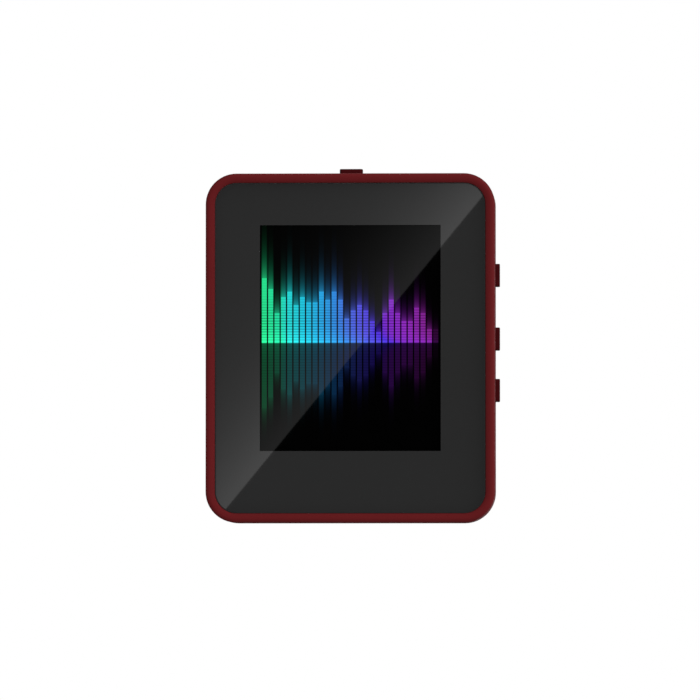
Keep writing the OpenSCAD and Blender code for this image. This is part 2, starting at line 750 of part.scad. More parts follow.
// Volume down button
module volume_down_button() color("#451416") stand() on_right(volume_down_z) button(button_proud);

// Power button
module power_button() color("#501b1a") stand() on_top() button(power_proud);

// Body of a switch, with the pocket that its plunger slides in
module switch_body() {
  translate([0, 0, -switch_face]) difference() {
    translate([0, 0, -switch_depth / 2]) cube([switch_l, switch_t, switch_depth], center = true);
    translate([0, 0, -(plunger_in + button_travel + plunger_gap) / 2 + cut / 2])
      cube([plunger_l + 2 * plunger_gap, plunger_t + 2 * plunger_gap,
        plunger_in + button_travel + plunger_gap + cut], center = true);
  }
}

// The four switches on the edges of the board
module switch_bodies() color("#35363a") stand() {
  on_right(menu_z) switch_body();
  on_right(volume_up_z) switch_body();
  on_right(volume_down_z) switch_body();
  on_top() switch_body();
}

// Plunger of a switch, against the back of its button
module plunger() {
  translate([0, 0, -wall - flange_t - (plunger_reach + plunger_in) / 2])
    cube([plunger_l, plunger_t, plunger_reach + plunger_in], center = true);
}

// Plunger behind the menu button
module menu_plunger() color("#d8d4c8") stand() on_right(menu_z) plunger();

// Plunger behind the volume up button
module volume_up_plunger() color("#d8d4c8") stand() on_right(volume_up_z) plunger();

// Plunger behind the volume down button
module volume_down_plunger() color("#d8d4c8") stand() on_right(volume_down_z) plunger();

// Plunger behind the power button
module power_plunger() color("#d8d4c8") stand() on_top() plunger();

// Headphone jack, its mouth at the bottom wall
module jack_body() color("#17171a") stand() translate([jack_x, -end_inner, z_jack]) difference() {
  translate([-jack_w / 2, 0, -jack_t / 2]) cube([jack_w, jack_len, jack_t]);
  translate([0, -cut, 0]) rotate([-90, 0, 0]) cylinder(h = jack_bore + cut, r = jack_r);
}

// Solder tabs of the jack
module jack_contacts() color("#c9a85c") stand() for (sx = [-1, 1], share = [0.25, 0.7]) {
  translate([jack_x, -end_inner + jack_len * share, z_board_back]) rotate([0, 0, sx > 0 ? 0 : 180])
    translate([jack_w / 2, -tab_w / 2, 0]) {
      translate([0, 0, -tab_h]) cube([tab_sheet, tab_w, tab_h]);
      translate([0, 0, -tab_sheet]) cube([tab_reach, tab_w, tab_sheet]);
    }
}

// Section of the charging socket's shell, taken in by a margin
module usb_section(margin) {
  half_w = usb_w / 2 - margin;
  half_t = usb_t / 2 - margin;
  nick = usb_chamfer - margin * 0.6;
  polygon([[-half_w, half_t], [-half_w, -half_t + nick], [-half_w + nick, -half_t],
    [half_w - nick, -half_t], [half_w, -half_t + nick], [half_w, half_t]]);
}

// Steel shell of the charging socket
module usb_shell() color("#c3c6ca") stand() translate([-usb_x, usb_start + usb_len, z_usb]) rotate([90, 0, 0])
  linear_extrude(usb_len) difference() {
    usb_section(0);
    usb_section(usb_sheet);
  }

// Insulator of the charging socket with its contact tongue
module usb_tongue() color("#1b1b1d") stand()
  translate([-usb_x, usb_start + usb_len, z_usb]) rotate([90, 0, 0]) {
  linear_extrude(usb_block) usb_section(usb_sheet);
  translate([-tongue_w / 2, 0, 0]) cube([tongue_w, tongue_thick, usb_len - tongue_back]);
}

// Five contacts on the tongue
module usb_contacts() color("#cda64f") stand()
  translate([-usb_x, usb_start + usb_len, z_usb]) rotate([90, 0, 0]) for (i = [-2:2]) {
  translate([i * usb_contact_pitch - usb_contact_w / 2, -usb_contact_t, usb_block])
    cube([usb_contact_w, usb_contact_t, usb_len - tongue_back - usb_block - usb_contact_w]);
}

// Plastic base of the card socket with its rails and end wall
module card_base() color("#222326") stand() translate([card_start, card_y, z_board_back]) {
  translate([0, -card_half + card_sheet, -card_floor])
    cube([card_depth, 2 * card_half - 2 * card_sheet, card_floor]);
  for (sy = [-1, 1]) {
    translate([card_depth / 2, sy * (card_w / 2 + card_rail / 2), -(card_floor + card_t) / 2])
      cube([card_depth, card_rail, card_floor + card_t], center = true);
  }
  translate([card_depth - card_end_wall, -card_w / 2 - cut, -card_floor - card_t])
    cube([card_end_wall, card_w + 2 * cut, card_floor + card_t]);
}

// Steel cover of the card socket
module card_cover() color("#c6c8cc") stand()
  translate([card_start, card_y, z_board_back - card_floor - card_t]) {
  translate([0, -card_half, -card_sheet]) cube([card_depth, 2 * card_half, card_sheet]);
  for (sy = [-1, 1]) {
    translate([card_depth / 2, sy * (card_half - card_sheet / 2), card_t / 2 - card_sheet / 2])
      cube([card_depth, card_sheet, card_t + card_sheet], center = true);
  }
}

// Eight contacts on the floor of the card socket
module card_contacts() color("#cda64f") stand() for (i = [0:7]) {
  translate([chip_x, card_y + (i - 3.5) * card_contact_pitch, z_board_back - card_floor - card_contact_t / 2])
    cube([card_contact_l, card_contact_w, card_contact_t], center = true);
}

// Screw with a cross recess, its head at the back
module case_screw() {
  z_head = z_screw_seat - screw_head_h;
  difference() {
    translate([0, 0, z_head]) cylinder(h = screw_head_h, r = screw_head_r);
    translate([0, 0, z_head]) cube([1.2 * screw_head_r, recess_w, 2 * recess_d], center = true);
    translate([0, 0, z_head]) cube([recess_w, 1.2 * screw_head_r, 2 * recess_d], center = true);
  }
  translate([0, 0, z_screw_seat - cut])
    cylinder(h = z_board_back + screw_grip - z_screw_seat + cut, r = screw_r);
}

// Four screws through the cover's posts into the bosses
module case_screws() color("#2a2b2d") stand() at_screws() case_screw();

front_housing();
back_cover();
front_lens();
lens_mask();
lens_tape();
display_gasket();
display_bezel();
display_panel();
backlight();
display_flex();
display_pads();
main_board();
processor_chip();
memory_chip();
radio_chip();
charger_chip();
crystal();
board_passives();
battery_cell();
battery_tape();
battery_circuit();
battery_lead_plus();
battery_lead_minus();
menu_button();
volume_up_button();
volume_down_button();
power_button();
switch_bodies();
menu_plunger();
volume_up_plunger();
volume_down_plunger();
power_plunger();
jack_body();
jack_contacts();
usb_shell();
usb_tongue();
usb_contacts();
card_base();
card_cover();
card_contacts();
case_screws();
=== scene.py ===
import math
import bpy
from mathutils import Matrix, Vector


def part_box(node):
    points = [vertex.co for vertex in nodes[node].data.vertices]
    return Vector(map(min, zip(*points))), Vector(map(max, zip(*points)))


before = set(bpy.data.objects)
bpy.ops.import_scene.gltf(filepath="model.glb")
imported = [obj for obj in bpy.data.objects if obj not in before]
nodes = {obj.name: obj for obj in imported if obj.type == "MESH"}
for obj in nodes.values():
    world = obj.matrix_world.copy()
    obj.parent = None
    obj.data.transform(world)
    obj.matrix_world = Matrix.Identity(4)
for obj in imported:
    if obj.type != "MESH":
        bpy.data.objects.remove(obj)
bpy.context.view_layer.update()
print("frame loaded,", len(nodes), "nodes")


def linear(hexColour):
    parts = [int(hexColour[i:i + 2], 16) / 255 for i in (1, 3, 5)]
    return tuple(c / 12.92 if c <= 0.04045 else ((c + 0.055) / 1.055) ** 2.4 for c in parts) + (1.0,)


# a socket, or a node by its first output, is linked to the input; anything else is the input's value
def setInputs(tree, target, inputs):
    for name, value in inputs.items():
        if isinstance(value, bpy.types.Node):
            value = value.outputs[0]
        if isinstance(value, bpy.types.NodeSocket):
            tree.links.new(value, target.inputs[name])
        else:
            target.inputs[name].default_value = value


# one node with its settings and links; a Mix node's sockets go by number: 0 is its factor, 2 and 3 take numbers,
# 6 and 7 take colours, and its output 2 is a colour
def addNode(tree, kind, inputs=None, **settings):
    made = tree.nodes.new(kind)
    for name, value in settings.items():
        setattr(made, name, value)
    setInputs(tree, made, inputs or {})
    return made


# a material with its shader, output and object coordinates
def startFinish(name, inputs):
    material = bpy.data.materials.new(name)
    material.use_nodes = True
    tree = material.node_tree
    tree.nodes.clear()
    shader = addNode(tree, "ShaderNodeBsdfPrincipled", inputs)
    addNode(tree, "ShaderNodeOutputMaterial", {"Surface": shader})
    place = addNode(tree, "ShaderNodeTexCoord").outputs["Object"]
    return material, tree, shader, place


# patterns are in metres, so one feature of so many millimetres needs this scale
def perMillimetre(size):
    return 1000.0 / size


noiseSpan = {"From Min": 0.3, "From Max": 0.7}     # most of a noise lies between these
eFold = 1 / math.e                                 # to the power of x it falls as exp(-x)

# the camera has a long lens, so there is hardly any perspective
photoView = {
    "fieldWidth": 0.10885,          # what the picture spans at the player
    "distance": 1.2,
    "side": 0.044,                  # a little from the right
    "height": -0.015,               # and from a little below, past the edge of the table
    "aim": (-0.00019, 0.0, 0.0269),
    "sensorMm": 36,
    "clip": (0.05, 20),
}


def setUpCamera():
    v = photoView
    data = bpy.data.cameras.new("photoCamera")
    data.sensor_width = v["sensorMm"]
    data.clip_start, data.clip_end = v["clip"]
    camera = bpy.data.objects.new("photoCamera", data)
    bpy.context.scene.collection.objects.link(camera)
    camera.location = (v["side"], -v["distance"], v["height"])
    away = Vector(v["aim"]) - camera.location
    camera.rotation_euler = away.to_track_quat("-Z", "Y").to_euler()
    data.lens = v["sensorMm"] * away.length / v["fieldWidth"]
    bpy.context.scene.camera = camera


# a broad key, and a room that lights evenly, with more from a window on the right, a little above and behind
studioLight = {
    "keyFrom": (0.3, -0.92, 0.27),
    "keyLevel": 2.3,
    "keySize": 30,                  # degrees across
    "roomLevel": 0.385,
    "windowFrom": (0.85, 0.05, 0.52),
    "windowLevel": 2.9,
    "windowFocus": 5.0,             # the higher, the narrower the window
}


# the printed mask has a key of its own that throws no shadow, so that the rim hardly darkens the print beside it
def hangKeys():
    v = studioLight
    for name, maskState, shadow in (("keyLight", "EXCLUDE", True), ("maskLight", "INCLUDE", False)):
        lamp = bpy.data.lights.new(name, "SUN")
        lamp.energy = v["keyLevel"]
        lamp.angle = math.radians(v["keySize"])
        lamp.use_shadow = shadow
        stand = bpy.data.objects.new(name, lamp)
        stand.rotation_euler = Vector(v["keyFrom"]).to_track_quat("Z", "Y").to_euler()
        stand.visible_glossy = stand.visible_transmission = False     # no disc shows as a hot spot in the lens
        bpy.context.scene.collection.objects.link(stand)
        lit = bpy.data.collections.new(name + "Receivers")
        lit.objects.link(nodes["lens_mask"])
        lit.collection_objects[0].light_linking.link_state = maskState
        stand.light_linking.receiver_collection = lit


# 1 where it is seen straight, mirrored or through glass, and 0 where it only gives light
def seenShare(tree):
    path = addNode(tree, "ShaderNodeLightPath")
    seen = path.outputs["Is Camera Ray"]
    for ray in ("Is Glossy Ray", "Is Transmission Ray"):
        seen = addNode(tree, "ShaderNodeMath", {0: seen, 1: path.outputs[ray]}, operation="MAXIMUM").outputs[0]
    return seen


# white where it is seen, the room's soft light elsewhere
def paintRoom():
    v = studioLight
    world = bpy.data.worlds.new("studioRoom")
    bpy.context.scene.world = world
    world.use_nodes = True
    world.cycles.sampling_method = "NONE"     # every lamp sample goes to the keys, which keeps the lens clean
    tree = world.node_tree
    tree.nodes.clear()
    towards = addNode(tree, "ShaderNodeTexCoord").outputs["Generated"]
    facing = addNode(tree, "ShaderNodeVectorMath", {0: towards, 1: Vector(v["windowFrom"]).normalized()},
                     operation="DOT_PRODUCT").outputs["Value"]
    facing = addNode(tree, "ShaderNodeMath", {0: facing, 1: 0.0}, operation="MAXIMUM")
    window = addNode(tree, "ShaderNodeMath", {0: facing, 1: v["windowFocus"]}, operation="POWER")
    room = addNode(tree, "ShaderNodeMath", {0: window, 1: v["windowLevel"], 2: v["roomLevel"]},
                   operation="MULTIPLY_ADD").outputs[0]
    level = addNode(tree, "ShaderNodeMapRange", {"Value": seenShare(tree), "To Min": room, "To Max": 1.0})
    light = addNode(tree, "ShaderNodeBackground", {"Color": linear("#ffffff"), "Strength": level})
    addNode(tree, "ShaderNodeOutputWorld", {"Surface": light})


# matt white paper: it keeps the shadow, is lifted to white where it is seen, and isn't there from below
paper = {
    "size": 6.0, "colour": "#cfcfcd", "roughness": 0.9,
    "gap": 0.00004,         # it lies this far under the player, so that the two never share a plane
    "lift": 0.45,
}


def layFloor():
    c = paper
    bpy.ops.object.select_all(action="DESELECT")
    bpy.ops.mesh.primitive_plane_add(size=c["size"], location=(0, 0, -c["gap"]))
    floor = bpy.context.object
    floor.name = "studioFloor"
    material, tree, shader, _ = startFinish("mattPaper", {
        "Base Color": linear(c["colour"]), "Roughness": c["roughness"], "Specular IOR Level": 0.0,
        "Emission Color": linear("#ffffff")})
    lift = addNode(tree, "ShaderNodeMath", {0: seenShare(tree), 1: c["lift"]}, operation="MULTIPLY")
    setInputs(tree, shader, {"Emission Strength": lift})
    under = addNode(tree, "ShaderNodeNewGeometry").outputs["Backfacing"]
    clear = addNode(tree, "ShaderNodeBsdfTransparent")
    side = addNode(tree, "ShaderNodeMixShader", {0: under, 1: shader, 2: clear})
    setInputs(tree, tree.nodes["Material Output"], {"Surface": side})
    material.cycles.emission_sampling = "NONE"
    floor.data.materials.append(material)
    floor.visible_diffuse = False      # the room also lights the player from below, as on a glass table


# the card that the lens mirrors: a soft light with one straight edge, and black below it
card = {
    "size": 0.22,
    "distance": 1.25,                   # just behind the camera
    "edgePoint": (0.00105, 0.0269),     # a point of the straight edge as it falls on the lens, x and z
    "edgeNormal": (-0.7726, 0.6349),    # across that edge, towards the light
    "fade": 0.0072, "bend": 1.2,        # how far the light carries on the lens, and how round its fall is
    "level": 2.0, "rest": 0.03,         # what falls off, and what stays
}


def hangCard():
    c, v = card, photoView
    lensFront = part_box("front_lens")[0].y
    reach = (c["distance"] + lensFront) / (v["distance"] + lensFront)     # lens to card, by lens to camera
    bpy.ops.object.select_all(action="DESELECT")
    bpy.ops.mesh.primitive_plane_add(
        size=c["size"], rotation=(math.radians(-90), 0, 0),
        location=(-v["side"] * reach, -c["distance"], v["aim"][2] * (1 + reach) - v["height"] * reach))
    board = bpy.context.object
    board.name = "reflectorCard"
    bpy.ops.object.transform_apply(location=True, rotation=True, scale=True)
    material = bpy.data.materials.new("gradedSoftbox")
    material.use_nodes = True
    tree = material.node_tree
    tree.nodes.clear()
    place = addNode(tree, "ShaderNodeTexCoord").outputs["Object"]
    # distance from the edge, on the lens: the card's own place is brought back by the mirror's law
    nx, nz = c["edgeNormal"]
    px, pz = c["edgePoint"]
    shrink = 1 / (1 + reach)
    offset = nx * (reach * shrink * v["side"] - px) + nz * (reach * shrink * v["height"] - pz)
    across = addNode(tree, "ShaderNodeVectorMath", {0: place, 1: (nx * shrink, 0, nz * shrink)},
                     operation="DOT_PRODUCT").outputs["Value"]
    across = addNode(tree, "ShaderNodeMath", {0: across, 1: offset}, operation="ADD")
    lit = addNode(tree, "ShaderNodeMath", {0: across, 1: 0.0}, operation="GREATER_THAN")
    share = addNode(tree, "ShaderNodeMath", {0: across, 1: c["fade"]}, operation="DIVIDE")
    share = addNode(tree, "ShaderNodeMath", {0: share, 1: 0.0}, operation="MAXIMUM")
    share = addNode(tree, "ShaderNodeMath", {0: share, 1: c["bend"]}, operation="POWER")
    fall = addNode(tree, "ShaderNodeMath", {0: eFold, 1: share}, operation="POWER")
    fall = addNode(tree, "ShaderNodeMath", {0: fall, 1: c["level"], 2: c["rest"]}, operation="MULTIPLY_ADD")
    strength = addNode(tree, "ShaderNodeMath", {0: fall, 1: lit}, operation="MULTIPLY")
    glow = addNode(tree, "ShaderNodeEmission", {"Color": linear("#ffffff"), "Strength": strength})
    addNode(tree, "ShaderNodeOutputMaterial", {"Surface": glow})
    material.cycles.emission_sampling = "NONE"
    board.data.materials.append(material)
    board.visible_camera = board.visible_diffuse = board.visible_shadow = False


setUpCamera()
hangKeys()
paintRoom()
layFloor()
hangCard()
bpy.context.scene.view_settings.view_transform = "Standard"
print("studio ready")


# satin red lacquer on moulded ABS: an even deep colour, a faint broad sheen, a trace of orange peel
caseLacquer = {
    "colour": "#571719", "deep": "#511517", "cloudMm": 9,
    "roughness": (0.61, 0.72), "rubMm": 3.5,      # a little smoother where it is rubbed
    "specular": 0.04,
    "peelMm": 0.45, "peel": 0.000004,
}


def makeCaseLacquer():
    c = caseLacquer
    material, tree, shader, place = startFinish("satinRedLacquer", {"Specular IOR Level": c["specular"]})
    cloud = addNode(tree, "ShaderNodeTexNoise",
                    {"Vector": place, "Scale": perMillimetre(c["cloudMm"]), "Detail": 3.0})
    colour = addNode(tree, "ShaderNodeMix", {0: cloud, 6: linear(c["deep"]), 7: linear(c["colour"])},
                     data_type="RGBA").outputs[2]
    rub = addNode(tree, "ShaderNodeTexNoise",
                  {"Vector": place, "Scale": perMillimetre(c["rubMm"]), "Detail": 5.0})
    smooth, dull = c["roughness"]
    shine = addNode(tree, "ShaderNodeMapRange", {"Value": rub, **noiseSpan, "To Min": smooth, "To Max": dull})
    peel = addNode(tree, "ShaderNodeTexNoise",
                   {"Vector": place, "Scale": perMillimetre(c["peelMm"]), "Detail": 1.5})
    bump = addNode(tree, "ShaderNodeBump", {"Height": peel, "Distance": c["peel"], "Strength": 1.0})
    setInputs(tree, shader, {"Base Color": colour, "Roughness": shine, "Normal": bump})
    return material


# hard-coated clear acrylic: clear as glass, its bevel and sides tinted grey as painted shade, and only a trace of
# mirror on its faces
lensAcrylic = {
    "ior": 1.3,                     # bare acrylic has 1.49, but the coating makes its faces mirror less
    "coating": "#000000", "clear": "#ffffff", "tinge": "#fbfcfc",
    "haze": (0.0, 0.002), "hazeMm": 14, "hazeSpan": {"From Min": 0.35, "From Max": 0.75},     # where it was wiped
    "edgeShade": "#8a8a8a", "faceOn": {"From Min": 0.8, "From Max": 0.95},     # by how square to Y a face is
}


def makeLensAcrylic():
    c = lensAcrylic
    material, tree, shader, place = startFinish("hardCoatedAcrylic", {
        "IOR": c["ior"], "Transmission Weight": 1.0, "Specular Tint": linear(c["coating"])})
    wipe = addNode(tree, "ShaderNodeTexNoise",
                   {"Vector": place, "Scale": perMillimetre(c["hazeMm"]), "Detail": 4.0})
    bare, wiped = c["haze"]
    haze = addNode(tree, "ShaderNodeMapRange",
                   {"Value": wipe, **c["hazeSpan"], "To Min": bare, "To Max": wiped})
    tint = addNode(tree, "ShaderNodeMix", {0: wipe, 6: linear(c["tinge"]), 7: linear(c["clear"])},
                   data_type="RGBA").outputs[2]
    # painted shade: the bevel and the sides are tinted greyer than the faces
    normal = addNode(tree, "ShaderNodeTexCoord").outputs["Normal"]
    square = addNode(tree, "ShaderNodeSeparateXYZ", {0: normal}).outputs["Y"]
    square = addNode(tree, "ShaderNodeMath", {0: square}, operation="ABSOLUTE")
    faceOn = addNode(tree, "ShaderNodeMapRange", {"Value": square, **c["faceOn"]})
    tint = addNode(tree, "ShaderNodeMix", {0: faceOn, 6: linear(c["edgeShade"]), 7: tint},
                   data_type="RGBA").outputs[2]
    setInputs(tree, shader, {"Base Color": tint, "Roughness": haze})
    return material


# black ink printed on clear film: nearly neutral, glossy through the film, with the faint cloud of a screen print
maskInk = {"colour": "#262626", "thin": "#272727", "cloudMm": 5, "roughness": 0.008, "specular": 0.25}


def makeMaskInk():
    c = maskInk
    material, tree, shader, place = startFinish("screenPrintedInk", {
        "Roughness": c["roughness"], "Specular IOR Level": c["specular"]})
    cloud = addNode(tree, "ShaderNodeTexNoise",
                    {"Vector": place, "Scale": perMillimetre(c["cloudMm"]), "Detail": 2.0})
    colour = addNode(tree, "ShaderNodeMix", {0: cloud, 6: linear(c["colour"]), 7: linear(c["thin"])},
                     data_type="RGBA").outputs[2]
    setInputs(tree, shader, {"Base Color": colour})
    return material


# liquid crystal panel, lit, under a smooth polariser that mirrors a little: a plain spectrum of bars on black,
# with its glow above and its mirror image below
picture = {
    "left": -0.01385, "barPitch": 0.985, "bars": 28,
    "barHalf": 0.39,             # half a bar, as a share of the pitch
    "horizon": 0.02786,          # the height on which the bars stand
    "tallest": 10.9, "segment": 0.42,
    "fall": (0.775, 0.49),       # share of the tallest at the first bar, and what the last one has less
    "waves": ((0.5, 2.79, 0.085), (1.24, 1.73, 0.105), (1.54, 2.48, 0.085), (2.37, -0.36, 0.07),
              (2.22, -0.19, 0.037)),     # pace, start and size
    "colours": ((0.02, "#26d888"), (0.10, "#22d49c"), (0.15, "#24d0cc"), (0.24, "#1cbcd6"), (0.31, "#22a6da"),
                (0.41, "#2c84d6"), (0.48, "#4268d6"), (0.56, "#504cd8"), (0.63, "#4c30d4"), (0.70, "#7a2cc0"),
                (0.80, "#8a2ab6"), (0.90, "#7e228e"), (0.96, "#76207e")),
    # at the foot brighter on the left, bluer on the right
    "footGain": 0.75, "footShift": -0.14, "footMm": 1.3,
    # how far the light over a bar carries, short and tall; it is weaker between the bars
    "glow": 0.5, "glowMm": (0.8, 1.0), "glowSide": (0.25, 0.5), "glowGap": 0.12,
    # so much of a segment is the dark line to the next, deeper above the foot, then even, then nearly lost
    "lineShare": 0.3, "lineDepth": (0.38, 0.62), "lineMm": (2.5, 3.5, 7.5), "lineLost": 0.15,
    # the mirror image keeps its level, then runs out
    "mirror": 0.077, "mirrorMm": (9.5, 17.0), "mirrorGlow": 0.85, "mirrorLine": 0.5,
    "lastBar": 0.14,             # the last bar is only just lit
    "strength": 1.09,
    "dark": ("#010101", "#020202"), "darkMm": 2,
    "polariser": 0.095, "roughness": 0.008,
}


# height of each bar, a falling line with waves on it, and its top in millimetres, in steps of one segment
def barTops(tree, bar):
    c = picture
    first, less = c["fall"]
    height = addNode(tree, "ShaderNodeMath", {0: bar, 1: -less / (c["bars"] - 1), 2: first},
                     operation="MULTIPLY_ADD")
    for pace, start, size in c["waves"]:
        turn = addNode(tree, "ShaderNodeMath", {0: bar, 1: pace, 2: start}, operation="MULTIPLY_ADD")
        wave = addNode(tree, "ShaderNodeMath", {0: turn}, operation="SINE")
        height = addNode(tree, "ShaderNodeMath", {0: wave, 1: size, 2: height}, operation="MULTIPLY_ADD")
    top = addNode(tree, "ShaderNodeMath", {0: height, 1: c["tallest"]}, operation="MULTIPLY")
    top = addNode(tree, "ShaderNodeMath", {0: top, 1: c["segment"]}, operation="SNAP")
    return height, top


# dark lines between the segments, clearest a little above the foot
def segmentLines(tree, rise, upper):
    c = picture
    step = addNode(tree, "ShaderNodeMath", {0: rise, 1: c["segment"]}, operation="DIVIDE")
    step = addNode(tree, "ShaderNodeMath", {0: step}, operation="FRACT")
    line = addNode(tree, "ShaderNodeMath", {0: step, 1: c["lineShare"]}, operation="LESS_THAN")
    faint, deep = c["lineDepth"]
    even, fading, lost = c["lineMm"]
    depth = addNode(tree, "ShaderNodeMapRange", {"Value": rise, "From Min": 0.0, "From Max": even,
                                                 "To Min": faint, "To Max": deep})
    keep = addNode(tree, "ShaderNodeMapRange", {"Value": rise, "From Min": fading, "From Max": lost,
                                                "To Min": 1.0, "To Max": c["lineLost"]})
    half = addNode(tree, "ShaderNodeMix", {0: upper, 2: c["mirrorLine"], 3: 1.0})
    for share in (depth, keep, half):
        line = addNode(tree, "ShaderNodeMath", {0: line, 1: share}, operation="MULTIPLY")
    return addNode(tree, "ShaderNodeMath", {0: 1.0, 1: line}, operation="SUBTRACT")


# glow above the top, long over the tall bars
def barGlow(tree, rise, height, top, offAxis):
    c = picture
    over = addNode(tree, "ShaderNodeMath", {0: rise, 1: top}, operation="SUBTRACT")
    short, tall = c["glowMm"]
    reach = addNode(tree, "ShaderNodeMath", {0: height, 1: 2.0}, operation="POWER")
    reach = addNode(tree, "ShaderNodeMath", {0: reach, 1: tall, 2: short}, operation="MULTIPLY_ADD")
    glow = addNode(tree, "ShaderNodeMath", {0: over, 1: reach}, operation="DIVIDE")
    glow = addNode(tree, "ShaderNodeMath", {0: eFold, 1: glow}, operation="POWER")
    outside = addNode(tree, "ShaderNodeMath", {0: over, 1: 0.0}, operation="GREATER_THAN")
    inner, outer = c["glowSide"]
    soft = addNode(tree, "ShaderNodeMapRange", {"Value": offAxis, "From Min": inner, "From Max": outer,
                                                "To Min": 1.0, "To Max": c["glowGap"]},
                   interpolation_type="SMOOTHSTEP")
    for share in (outside, soft):
        glow = addNode(tree, "ShaderNodeMath", {0: glow, 1: share}, operation="MULTIPLY")
    return glow


def makeDisplayPicture():
    c = picture
    material, tree, shader, place = startFinish("litDisplay", {
        "Roughness": c["roughness"], "Specular IOR Level": c["polariser"], "Emission Strength": c["strength"]})
    weave = addNode(tree, "ShaderNodeTexNoise",
                    {"Vector": place, "Scale": perMillimetre(c["darkMm"]), "Detail": 2.0})
    low, high = c["dark"]
    dark = addNode(tree, "ShaderNodeMix", {0: weave, 6: linear(low), 7: linear(high)},
                   data_type="RGBA").outputs[2]
    # across: the bar, and how far from its middle; up: millimetres from the horizon, the same below it
    axes = addNode(tree, "ShaderNodeSeparateXYZ", {0: place})
    perBar, perMm = perMillimetre(c["barPitch"]), perMillimetre(1)
    column = addNode(tree, "ShaderNodeMath", {0: axes.outputs["X"], 1: perBar, 2: -c["left"] * perBar},
                     operation="MULTIPLY_ADD")
    bar = addNode(tree, "ShaderNodeMath", {0: column}, operation="FLOOR")
    along = addNode(tree, "ShaderNodeMath", {0: column, 1: float(c["bars"])}, operation="DIVIDE")
    offAxis = addNode(tree, "ShaderNodeMath", {0: column}, operation="FRACT")
    offAxis = addNode(tree, "ShaderNodeMath", {0: offAxis, 1: 0.5}, operation="SUBTRACT")
    offAxis = addNode(tree, "ShaderNodeMath", {0: offAxis}, operation="ABSOLUTE")
    rise = addNode(tree, "ShaderNodeMath", {0: axes.outputs["Z"], 1: perMm, 2: -c["horizon"] * perMm},
                   operation="MULTIPLY_ADD")
    upper = addNode(tree, "ShaderNodeMath", {0: rise, 1: 0.0}, operation="GREATER_THAN")
    rise = addNode(tree, "ShaderNodeMath", {0: rise}, operation="ABSOLUTE")
    # near the foot the bars are brighter on the left and bluer on the right
    foot = addNode(tree, "ShaderNodeMath", {0: rise, 1: 1 / c["footMm"]}, operation="MULTIPLY")
    foot = addNode(tree, "ShaderNodeMath", {0: eFold, 1: foot}, operation="POWER")
    bluer = addNode(tree, "ShaderNodeMath", {0: foot, 1: along}, operation="MULTIPLY")
    brighter = addNode(tree, "ShaderNodeMath", {0: foot, 1: bluer}, operation="SUBTRACT")
    tone = addNode(tree, "ShaderNodeMath", {0: brighter, 1: c["footGain"], 2: 1.0}, operation="MULTIPLY_ADD")
    # the bars, and the glow over them
    height, top = barTops(tree, bar)
    solid = addNode(tree, "ShaderNodeMath", {0: rise, 1: top}, operation="LESS_THAN")
    body = addNode(tree, "ShaderNodeMath", {0: offAxis, 1: c["barHalf"]}, operation="LESS_THAN")
    for share in (body, segmentLines(tree, rise, upper), tone):
        solid = addNode(tree, "ShaderNodeMath", {0: solid, 1: share}, operation="MULTIPLY")
    glow = barGlow(tree, rise, height, top, offAxis)
    glowLevel = addNode(tree, "ShaderNodeMix", {0: upper, 2: c["mirrorGlow"], 3: c["glow"]})
    total = addNode(tree, "ShaderNodeMath", {0: glow, 1: glowLevel, 2: solid}, operation="MULTIPLY_ADD")
    # the mirror image is dim and runs out into black, and there is nothing beside the first and the last bar
    near, far = c["mirrorMm"]
    dim = addNode(tree, "ShaderNodeMapRange", {"Value": rise, "From Min": near, "From Max": far,
                                               "To Min": c["mirror"], "To Max": 0.0})
    side = addNode(tree, "ShaderNodeMix", {0: upper, 2: dim, 3: 1.0})
    inLeft = addNode(tree, "ShaderNodeMath", {0: column, 1: 0.0}, operation="GREATER_THAN")
    inRight = addNode(tree, "ShaderNodeMath", {0: column, 1: float(c["bars"])}, operation="LESS_THAN")
    last = addNode(tree, "ShaderNodeMath", {0: bar, 1: c["bars"] - 1.5}, operation="GREATER_THAN")
    ebb = addNode(tree, "ShaderNodeMath", {0: last, 1: c["lastBar"] - 1.0, 2: 1.0}, operation="MULTIPLY_ADD")
    for share in (side, inLeft, inRight, ebb):
        total = addNode(tree, "ShaderNodeMath", {0: total, 1: share}, operation="MULTIPLY")
    hue = addNode(tree, "ShaderNodeMath", {0: bluer, 1: c["footShift"], 2: along}, operation="MULTIPLY_ADD")
    ramp = addNode(tree, "ShaderNodeValToRGB", {0: hue})
    stops = ramp.color_ramp.elements
    while len(stops) < len(c["colours"]):
        stops.new(1.0)
    for stop, (where, colour) in zip(stops, c["colours"]):
        stop.position, stop.color = where, linear(colour)
    light = addNode(tree, "ShaderNodeVectorMath", {0: ramp, "Scale": total}, operation="SCALE")
    setInputs(tree, shader, {"Base Color": dark, "Emission Color": light})
    material.cycles.emission_sampling = "NONE"
    return material


